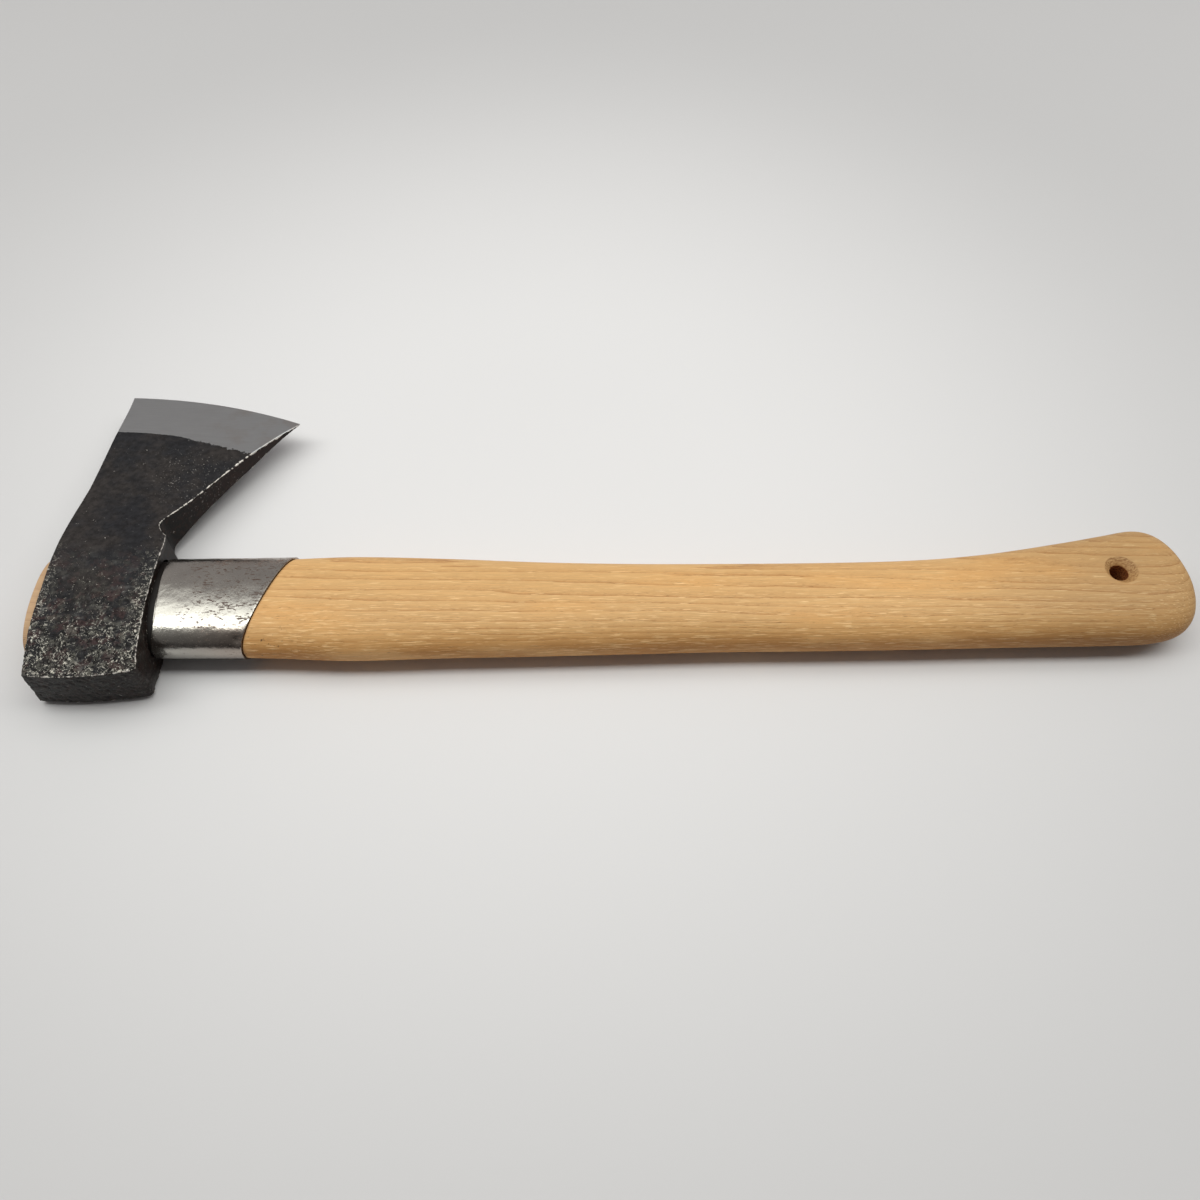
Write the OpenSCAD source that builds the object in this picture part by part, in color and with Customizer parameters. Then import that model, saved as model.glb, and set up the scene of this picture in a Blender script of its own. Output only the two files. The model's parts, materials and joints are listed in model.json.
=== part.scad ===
// Small forest hatchet lying on its side: a forged head on a wooden handle.
// A steel collar protects the neck of the handle below the head.
// It is drawn about the middle of the head's eye, with +X towards the butt of the
// handle, +Y towards the cutting edge and +Z up. It is then moved so that the origin
// is the middle of the footprint, on the surface that the hatchet lies on.

/* [Head] */
// Distance from the middle of the eye to the poll face
poll_reach = 30; // [27:0.5:33]
// Thickness of the head across the eye
eye_thickness = 21.8; // [21.6:0.1:23]
// Thickness of the head at the poll face
poll_thickness = 18.8; // [16:0.1:20]
// How far the top side stands above the middle of the eye at the poll
top_reach = 16.6; // [15:0.1:18]
// How far the handle side stands below the middle of the eye at the poll
shoulder_reach = 18.2; // [17:0.1:20]
// Toe, the upper corner of the cutting edge
toe = [-15.1, 96.1]; // [-25:0.1:110]
// Heel, the lower corner of the cutting edge
heel = [49.6, 82.2]; // [40:0.1:90]
// How far the cutting edge bows out beyond its chord
edge_bow = 2.9; // [1:0.1:5]
// Width of the ground bevel
bevel_width = 22; // [18:0.5:26]
// Thickness of the blade where the ground bevel starts
bevel_thickness = 6.2; // [5:0.1:7]
// Thickness left along the cutting edge
edge_thickness = 0.24; // [0.16:0.02:0.4]
// Width of the worn chamfer along the head's edges
head_chamfer = 0.9; // [0.3:0.1:1.2]

/* [Collar] */
// Wall thickness of the collar
collar_wall = 1; // [0.8:0.1:1.4]
// Distance from the middle of the eye to the collar's slanted end, on the handle's axis
collar_end = 52.4; // [48:0.1:54]
// Slant of the collar's lower end
collar_slant = 19.5; // [12:0.5:22]

/* [Handle] */
// How far the wood stands out of the eye, from the middle of the eye
tongue_reach = 22.3; // [21:0.1:25]
// Half the width of the eye
eye_half_width = 17.4; // [16:0.1:17.4]
// Half the depth of the eye
eye_half_depth = 8; // [7.5:0.1:8.2]
// Thickness of the grip
grip_thickness = 20; // [19:0.1:20.4]
// Thickness of the butt
butt_thickness = 21.6; // [21:0.1:21.6]
// Distance from the middle of the eye to the end of the butt
butt_reach = 353.5; // [352:0.5:358]

/* [Hanging hole] */
// Diameter of the hanging hole
hole_d = 6; // [5:0.5:7]
// Diameter of the chamfer around the hole
hole_rim_d = 10.7; // [9:0.1:12]
// Middle of the hole
hole_at = [328.8, 6.5]; // [6:0.1:330]

/* [Wedges] */
// Depth of the saw kerf and of its wooden wedge
wedge_depth = 29; // [20:1:32]
// Thickness of the wooden wedge at the end of the tongue
wedge_thickness = 3.6; // [2.5:0.1:4.5]
// Thickness of the wooden wedge at its tip
wedge_tip = 0.8; // [0.4:0.1:1.2]
// Length of the steel staple that crosses the wooden wedge
staple_length = 12.5; // [10:0.5:14]
// Thickness of the staple
staple_thickness = 1.8; // [1.2:0.1:2.4]
// Depth of the staple's legs
staple_depth = 14; // [10:1:16]
// Turn of the staple across the wooden wedge
staple_turn = 25; // [0:5:40]

/* [Hidden] */

rest_height = eye_thickness / 2;
footprint_middle = [(butt_reach - tongue_reach) / 2, (toe[1] - poll_reach) / 2];
past = 1;

// Ovals: points round a ring, and how far the oval is drawn out towards a rectangle
ring_points = 56;
oval_square = 2.3;

// Top side of the head: control heights of a smooth curve from the poll to the toe
top_bulge = [-top_reach, -22.5, -15.9, toe[0]];

// Handle side of the head: a straight shoulder, a small notch, then the beard
shoulder_foot = [shoulder_reach, -poll_reach];
shoulder_end = [15.1, 24.7];
beard_start = [12.6, 32.4];
notch_curve = [shoulder_end, [13.2, 26.5], [11.0, 29.5], beard_start];
beard_curve = [beard_start, [27.5, 54], [36, 68], heel];
blade_foot = 33;
block_rows = 12;
notch_rows = 4;
blade_rows = 30;
head_columns = 16;

// Cutting edge: an arc through the toe and the heel
edge_chord = norm(heel - toe);
edge_radius = (pow(edge_chord / 2, 2) + pow(edge_bow, 2)) / (2 * edge_bow);
edge_out = [toe[1] - heel[1], heel[0] - toe[0]] / edge_chord;
edge_centre = (toe + heel) / 2 + edge_out * (edge_bow - edge_radius);

// Blade: it thickens slowly behind the bevel, then swells into the eye
cheek_slope = 0.08;
swell_start = 46;
swell_length = 40;
poll_taper_start = 12;

// Neck ovals at its upper and lower ends: [along the handle, blade side, poll side, half depth]
neck = [
    [13, 19.3, -17.1, 9.3],
    [62, 19.5, -17.4, 9.9]
];

// Tongue oval: the wedges spread it a little at the top
tongue_spread = 0.7;
eye_middle = 1.3;
eye_reach = 19;

// Grip stations: [along the handle, blade side, poll side, half thickness]
grip = grip_thickness / 2;
grip_stations = [
    [36, 17.8, -16.5, 9.1],
    [58, 18.7, -17.2, 9.5],
    [80, 19.3, -18.1, grip],
    [110, 18.2, -17.4, grip],
    [140, 16.5, -16.9, grip],
    [170, 15.5, -16.3, grip],
    [200, 15.2, -15.7, grip],
    [235, 15.3, -15.6, grip],
    [265, 16.1, -15.3, grip],
    [290, 18.5, -14.9, grip + 0.2],
    [315, 22.8, -14.7, grip + 0.5],
    [330, 25.8, -14.5, butt_thickness / 2]
];
grip_rings = 50;

// Rounded butt: control points of its two sides, from the last station to the tip
butt_tip = [butt_reach - 1, 8];
butt_blade_side = [[330, 25.8], [339, 27.5], [butt_reach - 4, 33.5], butt_tip];
butt_poll_side = [[330, -14.5], [346, -14.6], [butt_reach + 3.5, -11], butt_tip];
butt_rings = 18;
butt_stop = 0.985;

hole_wall = butt_thickness / 2 - (hole_rim_d - hole_d) / 2;

// Staple: legs across its length, and the depth of the bar that joins them
staple_legs = 3;
staple_bar = 2.5;
staple_leg = 1.8;

function smooth(t) = let (k = min(1, max(0, t))) k * k * (3 - 2 * k);

function mix(a, b, t) = a + (b - a) * t;

// Point on a cubic curve with four control points
function bezier(p, t) =
    pow(1 - t, 3) * p[0] + 3 * pow(1 - t, 2) * t * p[1] + 3 * (1 - t) * t * t * p[2] + pow(t, 3) * p[3];

// Point on a smooth curve through points p, with t from 0 at the first to 1 at the last
function through(p, t) =
    let (
        last = len(p) - 1,
        i = min(last - 1, floor(t * last)),
        f = t * last - i,
        a = p[max(i - 1, 0)],
        b = p[i],
        c = p[i + 1],
        d = p[min(i + 2, last)]
    )
    b + ((c - a) * f + (2 * a - 5 * b + 4 * c - d) * f * f + (3 * b - a - 3 * c + d) * f * f * f) / 2;

// Cosine or sine drawn out towards a rectangle
function squared(v) = sign(v) * pow(abs(v), 2 / oval_square);

// Upright oval ring that runs from its blade-side point over to its poll-side point
function oval(blade_point, poll_point, half_depth) =
    let (middle = (blade_point + poll_point) / 2, reach = (blade_point - poll_point) / 2)
    [
        for (k = [0 : ring_points - 1])
            let (turn = 360 * k / ring_points, at = middle + reach * squared(cos(turn)))
            [at[0], at[1], half_depth * squared(sin(turn))]
    ];

// Oval at a station [along the handle, blade side, poll side, half depth], less a skin
function station_oval(s, skin = 0) = oval([s[0], s[1] - skin], [s[0], s[2] + skin], s[3] - skin);

// Distance of a point from the cutting edge
function from_edge(at) = max(0, edge_radius - norm(at - edge_centre));

// Half thickness of the head at a point
function half_thickness(at) =
    let (
        d = from_edge(at),
        bevel = mix(edge_thickness, bevel_thickness, min(1, d / bevel_width)) / 2,
        cheek = bevel + cheek_slope * max(0, d - bevel_width),
        taper = smooth((-poll_taper_start - at[1]) / (poll_reach - poll_taper_start))
    )
    mix(cheek, eye_thickness / 2, smooth((d - swell_start) / swell_length))
    - taper * (eye_thickness - poll_thickness) / 2;

// Point of the head's top side at the height y
function top_at(y) = [bezier(top_bulge, (y + poll_reach) / (toe[1] + poll_reach)), y];

// Rows of the head from the poll to the edge: [top side, handle side, bow, chamfered]
poll_rows = [
    [top_at(-poll_reach) + [head_chamfer, 0], shoulder_foot - [head_chamfer, 0], 0, true],
    [top_at(head_chamfer - poll_reach), shoulder_foot + [0, head_chamfer], 0, false]
];
block = [
    for (k = [1 : block_rows])
        let (
            t = k / block_rows,
            at = mix(shoulder_foot + [0, head_chamfer], shoulder_end, t)
        )
        [top_at(at[1]), at, 0, false]
];
notch = [
    for (k = [1 : notch_rows])
        let (t = k / notch_rows)
        [top_at(mix(shoulder_end[1], blade_foot, t)), bezier(notch_curve, t), 0, false]
];
blade = [
    for (k = [1 : blade_rows])
        let (t = k / blade_rows)
        [top_at(mix(blade_foot, toe[1], t)), bezier(beard_curve, t), edge_bow * t * t, false]
];

// Points of one row's upper surface, from the top side to the handle side
function row_surface(row) =
    let (
        across = row[1] - row[0],
        width = norm(across),
        out = [-across[1], across[0]] / width,
        inset = head_chamfer / width
    )
    [
        for (j = [0 : head_columns])
            let (
                side = j == 0 || j == head_columns,
                u = side ? j / head_columns : mix(inset, 1 - inset, (j - 1) / (head_columns - 2)),
                at = row[0] + across * u + out * row[2] * 4 * u * (1 - u),
                t = half_thickness(at),
                chamfer = min(head_chamfer, t / 3)
            )
            [at[0], at[1], t - (side || row[3] ? chamfer : 0)]
    ];

function head_ring(row) =
    let (upper = row_surface(row))
    concat(upper, [for (j = [head_columns : -1 : 0]) [upper[j][0], upper[j][1], -upper[j][2]]]);

// Faces between neighbouring rings of n points
function side_faces(rings, n) = [
    for (i = [0 : rings - 2], j = [0 : n - 1])
        let (a = i * n, b = a + n, k = (j + 1) % n)
        each [[a + j, b + j, b + k], [a + j, b + k, a + k]]
];

// Solid through a list of rings with flat ends
module loft(rings) {
    n = len(rings[0]);
    last = (len(rings) - 1) * n;
    ends = [[for (j = [0 : n - 1]) j], [for (j = [n - 1 : -1 : 0]) last + j]];
    polyhedron(points = [for (r = rings) each r], faces = concat(ends, side_faces(len(rings), n)));
}

module head_blank() {
    rings = [for (row = concat(poll_rows, block, notch, blade)) head_ring(row)];
    n = len(rings[0]);
    last = (len(rings) - 1) * n;
    caps = [
        for (j = [0 : head_columns - 1])
            let (k = n - 1 - j)
            each [[j, j + 1, k - 1, k], [last + j + 1, last + j, last + k, last + k - 1]]
    ];
    polyhedron(points = [for (r = rings) each r], faces = concat(caps, side_faces(len(rings), n)));
}

// Wood inside the eye, from the end of the tongue to the neck
module tongue(from, to) {
    loft([
        for (x = [from, -eye_reach, to])
            let (
                spread = x < 0 ? tongue_spread : 0,
                half_width = eye_half_width + spread
            )
            station_oval([x, eye_middle + half_width, eye_middle - half_width, eye_half_depth + spread])
    ]);
}

// Everything past the collar's slanted end, or before it
module slanted_side(below) {
    reach = 2 * butt_reach;
    translate([collar_end, 0, 0])
    rotate(-collar_slant)
    translate([below ? 0 : -reach, -reach / 2, -reach / 2])
    cube(reach);
}

// Everything on the handle side of the head's shoulder
module below_head() {
    lean = atan2(shoulder_foot[0] - shoulder_end[0], shoulder_end[1] - shoulder_foot[1]);
    reach = 80;
    translate([shoulder_end[0], shoulder_end[1], 0])
    rotate(lean)
    translate([0, -reach, -reach])
    cube([reach, 2 * reach, 2 * reach]);
}

module grip() {
    loft(concat(
        [for (k = [0 : grip_rings]) station_oval(through(grip_stations, k / grip_rings))],
        [
            for (k = [1 : butt_rings])
                let (t = butt_stop * sin(90 * k / butt_rings))
                oval(bezier(butt_blade_side, t), bezier(butt_poll_side, t), butt_thickness / 2 * sqrt(1 - pow(t, 3)))
        ]
    ));
}

module wedge_shape() {
    half_width = 30;
    translate([0, half_width, 0])
    rotate([90, 0, 0])
    linear_extrude(2 * half_width)
    polygon([
        [-tongue_reach, -wedge_thickness / 2],
        [wedge_depth - tongue_reach, -wedge_tip / 2],
        [wedge_depth - tongue_reach, wedge_tip / 2],
        [-tongue_reach, wedge_thickness / 2]
    ]);
}

module staple_shape() {
    pitch = (staple_length - staple_leg) / (staple_legs - 1);
    translate([-tongue_reach, eye_middle, 0])
    rotate([staple_turn, 0, 0])
    translate([0, staple_thickness / 2, -staple_length / 2])
    rotate([90, 0, 0])
    linear_extrude(staple_thickness)
    polygon([
        [0, 0],
        [0, staple_length],
        for (k = [staple_legs - 1 : -1 : 0])
            let (foot = k * pitch)
            each [
                [staple_bar, foot + staple_leg],
                [staple_depth, foot + staple_leg / 2],
                [staple_bar, foot]
            ]
    ]);
}

module head() {
    color("#3a3634")
    difference() {
        head_blank();
        tongue(-top_reach - 10, shoulder_reach + past);
    }
}

module handle() {
    color("#c9a06a")
    difference() {
        union() {
            tongue(-tongue_reach, neck[0][0] + past);
            loft([for (s = neck) station_oval(s, collar_wall)]);
            intersection() {
                grip();
                slanted_side(below = true);
            }
        }
        wedge_shape();
        staple_shape();
        translate([hole_at[0], hole_at[1], -butt_thickness])
        cylinder(h = 2 * butt_thickness, d = hole_d, $fn = 48);
        for (flip = [0, 1])
            mirror([0, 0, flip])
            translate([hole_at[0], hole_at[1], hole_wall])
            cylinder(h = hole_rim_d / 2, d1 = hole_d, d2 = hole_d + hole_rim_d, $fn = 48);
    }
}

module collar() {
    color("#a9a9a7")
    intersection() {
        difference() {
            loft([for (s = neck) station_oval(s)]);
            loft([for (s = [neck[0] - [past, 0, 0, 0], neck[1] + [past, 0, 0, 0]]) station_oval(s, collar_wall)]);
        }
        below_head();
        slanted_side(below = false);
    }
}

module eye_wedge() {
    color("#b98d58")
    difference() {
        intersection() {
            wedge_shape();
            tongue(-tongue_reach, neck[0][0]);
        }
        staple_shape();
    }
}

module wedge_staple() {
    color("#8d8f92")
    staple_shape();
}

module placed() {
    translate([-footprint_middle[0], -footprint_middle[1], rest_height])
    children();
}

placed() head();
placed() handle();
placed() collar();
placed() eye_wedge();
placed() wedge_staple();
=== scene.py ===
"""Small forest hatchet lying on its side: finely modelled pieces, materials, light and camera.

Shapes are worked out in millimetres about the middle of the head's eye, with +X towards
the butt of the handle, +Y towards the cutting edge and +Z up. They are then moved to
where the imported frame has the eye, in metres.
"""

import json
import math

import bmesh
import bpy
import numpy as np
from mathutils import Matrix, Vector, noise


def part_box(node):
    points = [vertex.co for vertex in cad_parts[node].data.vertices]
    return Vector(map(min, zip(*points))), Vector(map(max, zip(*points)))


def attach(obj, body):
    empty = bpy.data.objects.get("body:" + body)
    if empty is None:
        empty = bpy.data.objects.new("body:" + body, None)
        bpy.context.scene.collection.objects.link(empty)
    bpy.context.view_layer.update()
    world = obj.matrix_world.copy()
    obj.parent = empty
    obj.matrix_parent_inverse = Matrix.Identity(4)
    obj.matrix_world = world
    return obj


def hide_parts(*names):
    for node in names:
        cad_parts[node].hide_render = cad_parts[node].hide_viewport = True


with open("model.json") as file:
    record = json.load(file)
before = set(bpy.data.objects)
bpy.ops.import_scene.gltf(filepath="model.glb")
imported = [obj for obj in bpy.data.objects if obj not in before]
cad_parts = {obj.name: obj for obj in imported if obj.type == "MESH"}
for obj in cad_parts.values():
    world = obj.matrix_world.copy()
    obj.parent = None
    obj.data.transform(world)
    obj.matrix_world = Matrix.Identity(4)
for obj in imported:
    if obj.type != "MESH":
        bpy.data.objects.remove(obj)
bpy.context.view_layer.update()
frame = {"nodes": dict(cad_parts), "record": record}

MM = 0.001

# ---------------------------------------------------------------- sizes, in millimetres

POLL_REACH = 30.0
TONGUE_REACH = 22.3

HEAD_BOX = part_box("head")
HANDLE_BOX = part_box("handle")
EYE = Vector((
    HANDLE_BOX[0].x + TONGUE_REACH * MM,
    HEAD_BOX[0].y + POLL_REACH * MM,
    (HEAD_BOX[0].z + HEAD_BOX[1].z) / 2,
))

# Head outline: a curve on the top side; a shoulder, a notch and the beard on the handle side
TOE = (-15.1, (HEAD_BOX[1].y - EYE.y) / MM)
HEEL = (49.6, 82.2)
EDGE_BOW = 2.9
TOP_BULGE = (-16.6, -22.5, -15.9, TOE[0])
SHOULDER = ((18.2, -POLL_REACH), (15.1, 24.7))
BEARD_START = (12.6, 32.4)
NOTCH = (SHOULDER[1], (13.2, 26.5), (11.0, 29.5), BEARD_START)
BEARD = (BEARD_START, (27.5, 54.0), (36.0, 68.0), HEEL)
BLADE_FOOT = 33.0

# Head thickness
EYE_THICKNESS = (HEAD_BOX[1].z - HEAD_BOX[0].z) / MM
POLL_THICKNESS = 18.8
BEVEL_WIDTH = 22.0
BEVEL_THICKNESS = 6.2
EDGE_THICKNESS = 0.24
CHEEK_SLOPE = 0.08
SWELL_START = 46.0
SWELL_LENGTH = 40.0
POLL_TAPER_START = 12.0
CHEEK_ROUND = 0.55
HANDLE_CORNER = 1.8
TOP_CORNER = 0.6

# Eye and tongue oval, neck under the collar: [along the handle, blade side, poll side, half depth]
OVAL_SQUARE = 2.3
EYE_MIDDLE = 1.3
EYE_HALF_WIDTH = 17.4
EYE_HALF_DEPTH = 8.0
TONGUE_SPREAD = 0.7
SPREAD_END = -19.0
NECK = np.array([(13, 19.3, -17.1, 9.3), (62, 19.5, -17.4, 9.9)])
COLLAR_WALL = 1.0
SHOULDER_GAP = (0.3, 1.5)
COLLAR_END = 52.4
COLLAR_SLANT = math.tan(math.radians(19.5))

# Grip stations: [along the handle, blade side, poll side, half thickness]
GRIP = np.array([
    (36, 17.8, -16.5, 9.1),
    (58, 18.7, -17.2, 9.5),
    (80, 19.3, -18.1, 10),
    (110, 18.2, -17.4, 10),
    (140, 16.5, -16.9, 10),
    (170, 15.5, -16.3, 10),
    (200, 15.2, -15.7, 10),
    (235, 15.3, -15.6, 10),
    (265, 16.1, -15.3, 10),
    (290, 18.5, -14.9, 10.2),
    (315, 22.8, -14.7, 10.5),
    (330, 25.8, -14.5, 10.8),
])
BUTT_TIP = (352.5, 8.0)
BUTT_BLADE_SIDE = ((330, 25.8), (339, 27.5), (349.5, 33.5), BUTT_TIP)
BUTT_POLL_SIDE = ((330, -14.5), (347.5, -14.0), (356.5, -10.5), BUTT_TIP)

# Hanging hole
HOLE = next(m for m in frame["record"]["mounts"] if m["name"] == "hang_hole")
HOLE_MIDDLE = (Vector(HOLE["pos_m"]) - EYE) / MM
HOLE_RADIUS = HOLE["dims"]["r_mm"]
HOLE_WALL = HOLE["dims"]["length_mm"] / 2


# ---------------------------------------------------------------- curves and ovals

def mix(a, b, t):
    return a + (b - a) * t


def smooth(t):
    k = np.clip(t, 0, 1)
    return k * k * (3 - 2 * k)


def bezier(points, t):
    """Points on a cubic curve with four control points, for an array t."""
    p = [np.asarray(q, float) for q in points]
    t = np.asarray(t, float)
    t = t if p[0].ndim == 0 else t[:, None]
    return (1 - t) ** 3 * p[0] + 3 * (1 - t) ** 2 * t * p[1] + 3 * (1 - t) * t * t * p[2] + t ** 3 * p[3]


def through(stations, t):
    """Points on a smooth curve through the stations, with t from 0 at the first to 1 at the last."""
    last = len(stations) - 1
    i = np.minimum(last - 1, (t * last).astype(int))
    f = (t * last - i)[:, None]
    a, b = stations[np.maximum(i - 1, 0)], stations[i]
    c, d = stations[i + 1], stations[np.minimum(i + 2, last)]
    return b + ((c - a) * f + (2 * a - 5 * b + 4 * c - d) * f ** 2 + (3 * b - a - 3 * c + d) * f ** 3) / 2


def squared(v):
    """Cosine or sine drawn out towards a rectangle."""
    return np.sign(v) * np.abs(v) ** (2 / OVAL_SQUARE)


def turns(count):
    return np.arange(count) * 2 * math.pi / count


# ---------------------------------------------------------------- mesh helpers

def in_frame(points):
    """Points in millimetres about the eye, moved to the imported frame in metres."""
    return np.asarray(points, float).reshape(-1, 3) * MM + np.array(EYE)


def make_piece(name, points, faces):
    """Piece from points in millimetres about the eye, with all its faces turned outwards."""
    mesh = bpy.data.meshes.new(name)
    mesh.from_pydata(in_frame(points).tolist(), [], faces)
    mesh.validate()
    build = bmesh.new()
    build.from_mesh(mesh)
    bmesh.ops.recalc_face_normals(build, faces=build.faces)
    build.to_mesh(mesh)
    build.free()
    piece = bpy.data.objects.new(name, mesh)
    bpy.context.scene.collection.objects.link(piece)
    return piece


def tube_faces(rings, count, closed=False):
    """Faces between neighbouring rings of count points; closed joins the last ring to the first."""
    faces = []
    for i in range(rings if closed else rings - 1):
        a, b = i * count, (i + 1) % rings * count
        for j in range(count):
            k = (j + 1) % count
            faces.append((a + j, a + k, b + k, b + j))
    return faces


def loft(name, rings):
    """Closed piece through rings, an array [ring, point, xyz], with a flat face at both ends."""
    count = rings.shape[1]
    last = (len(rings) - 1) * count
    ends = [tuple(range(count)), tuple(range(last, last + count))]
    return make_piece(name, rings, tube_faces(len(rings), count) + ends)


def cut(piece, cutter):
    """Takes the cutter out of the piece, and then removes the cutter."""
    step = piece.modifiers.new("cut", "BOOLEAN")
    step.operation = "DIFFERENCE"
    step.solver = "EXACT"
    step.object = cutter
    bpy.context.view_layer.update()
    seen = piece.evaluated_get(bpy.context.evaluated_depsgraph_get())
    mesh = bpy.data.meshes.new_from_object(seen)
    piece.modifiers.clear()
    piece.data = mesh
    bpy.data.objects.remove(cutter)


def shade(piece, material, sharp):
    """Smooth shading that stays sharp at edges above an angle in degrees."""
    piece.data.materials.clear()
    piece.data.materials.append(material)
    piece.data.shade_smooth()
    piece.data.set_sharp_from_angle(angle=math.radians(sharp))


def own(piece, node):
    """The piece stands for a CAD node and moves with the only body."""
    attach(piece, "root")
    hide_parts(node)


def vertex_arrays(piece):
    """Vertex positions in millimetres about the eye, and vertex normals."""
    mesh = piece.data
    places = np.zeros(len(mesh.vertices) * 3)
    normals = np.zeros(len(mesh.vertices) * 3)
    mesh.vertices.foreach_get("co", places)
    mesh.vertex_normals.foreach_get("vector", normals)
    places = (places.reshape(-1, 3) - np.array(EYE)) / MM
    return places, normals.reshape(-1, 3)


def put_vertices(piece, places):
    piece.data.vertices.foreach_set("co", in_frame(places).ravel())
    piece.data.update()


def paint_points(piece, name, values):
    """Stores one number per vertex for the material to read."""
    layer = piece.data.attributes.new(name, "FLOAT", "POINT")
    layer.data.foreach_set("value", np.asarray(values, np.float32))


def field(places, size, seed):
    """Smooth noise from -1 to 1 at each place, with features about size millimetres across."""
    offset = Vector((seed * 17.3, seed * 5.1, seed * 9.7))
    return np.array([noise.noise(Vector(p) / size + offset) for p in places])


# ---------------------------------------------------------------- head

HEAD_COLUMNS = 112
ROW_STEP = 0.46
CORNER_ROWS = 12
NOTCH_ROWS = 26
BLADE_ROWS = 132
WALL_STEPS = 34
ARC_STEPS = 5
OUTLINE_STEPS = 90
EYE_GAP = 0.12
EYE_CUTTER_REACH = 60

# Rubbed arrises with a painted rim highlight: width of the bright line, and reach and strength at the
# poll's corners
RUB_WIDTH = 0.52
CORNER_REACH = 4.5
CORNER_RUB = 0.62

# Hand forging: depth and reach of the poll face's bow on either side of its crown, skew and drop of
# the poll's lower edge, and lean of the shoulder's arris at places from the poll to the blade
POLL_CROWN = -5.0
BOW_HANDLE_SIDE = (2.2, 22.0)
BOW_TOP_SIDE = (0.6, 12.0)
POLL_SKEW = (2.3, 0.8)
POLL_DROP = 1.2
LEAN_PLACES = (-30, -24, -3, 6, 22, 27, 33)
LEANS = (0, -0.5, -0.55, -0.1, 1.0, 0.6, 0)

EDGE_CHORD = math.dist(TOE, HEEL)
EDGE_RADIUS = ((EDGE_CHORD / 2) ** 2 + EDGE_BOW ** 2) / (2 * EDGE_BOW)
EDGE_OUT = np.array((TOE[1] - HEEL[1], HEEL[0] - TOE[0])) / EDGE_CHORD
EDGE_CENTRE = (np.array(TOE) + np.array(HEEL)) / 2 + EDGE_OUT * (EDGE_BOW - EDGE_RADIUS)


def from_edge(at):
    """Distance of points [..., xy] from the cutting edge."""
    return np.maximum(0, EDGE_RADIUS - np.linalg.norm(at - EDGE_CENTRE, axis=-1))


def half_thickness(at):
    """Half the head's thickness at points [..., xy]: bevel, cheek, swell at the eye, taper to the poll."""
    d = from_edge(at)
    bevel = mix(EDGE_THICKNESS, BEVEL_THICKNESS, np.minimum(1, d / BEVEL_WIDTH)) / 2
    cheek = bevel + CHEEK_SLOPE * np.maximum(0, d - BEVEL_WIDTH)
    swell = smooth((d - SWELL_START) / SWELL_LENGTH)
    taper = smooth((-POLL_TAPER_START - at[..., 1]) / (POLL_REACH - POLL_TAPER_START))
    return mix(cheek, EYE_THICKNESS / 2, swell) - taper * (EYE_THICKNESS - POLL_THICKNESS) / 2


def top_side(y):
    """Points of the head's top side at heights y."""
    t = (y + POLL_REACH) / (TOE[1] + POLL_REACH)
    return np.stack([bezier(TOP_BULGE, t), y], axis=-1)


def shoulder_side(y):
    """Points of the straight shoulder at heights y."""
    t = ((y - SHOULDER[0][1]) / (SHOULDER[1][1] - SHOULDER[0][1]))[:, None]
    return mix(np.array(SHOULDER[0]), np.array(SHOULDER[1]), t)


def head_rows():
    """Rows from the poll to the edge: top side, handle side, bow, distance in from the poll face."""
    turn_in = np.linspace(0, math.pi / 2, CORNER_ROWS)[:-1]
    start = np.concatenate([
        HANDLE_CORNER * (1 - np.cos(turn_in)),
        np.arange(HANDLE_CORNER, SHOULDER[1][1] + POLL_REACH, ROW_STEP),
    ])
    y = start - POLL_REACH
    t_notch = np.linspace(0, 1, NOTCH_ROWS)
    t_blade = np.linspace(0, 1, BLADE_ROWS)[1:]
    tops = np.concatenate([
        top_side(y),
        top_side(mix(SHOULDER[1][1], BLADE_FOOT, t_notch)),
        top_side(mix(BLADE_FOOT, TOE[1], t_blade)),
    ])
    handles = np.concatenate([shoulder_side(y), bezier(NOTCH, t_notch), bezier(BEARD, t_blade)])
    bows = np.concatenate([np.zeros(len(y) + len(t_notch)), EDGE_BOW * t_blade ** 2])
    depths = np.concatenate([start, np.full(len(t_notch) + len(t_blade), POLL_REACH)])
    return tops, handles, bows, depths


def round_in(depth, radius):
    """How far a rounded corner is drawn in, at a depth from the face that it starts on."""
    left = radius - np.minimum(depth, radius)
    return radius - np.sqrt(np.maximum(0, radius ** 2 - left ** 2))


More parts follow.
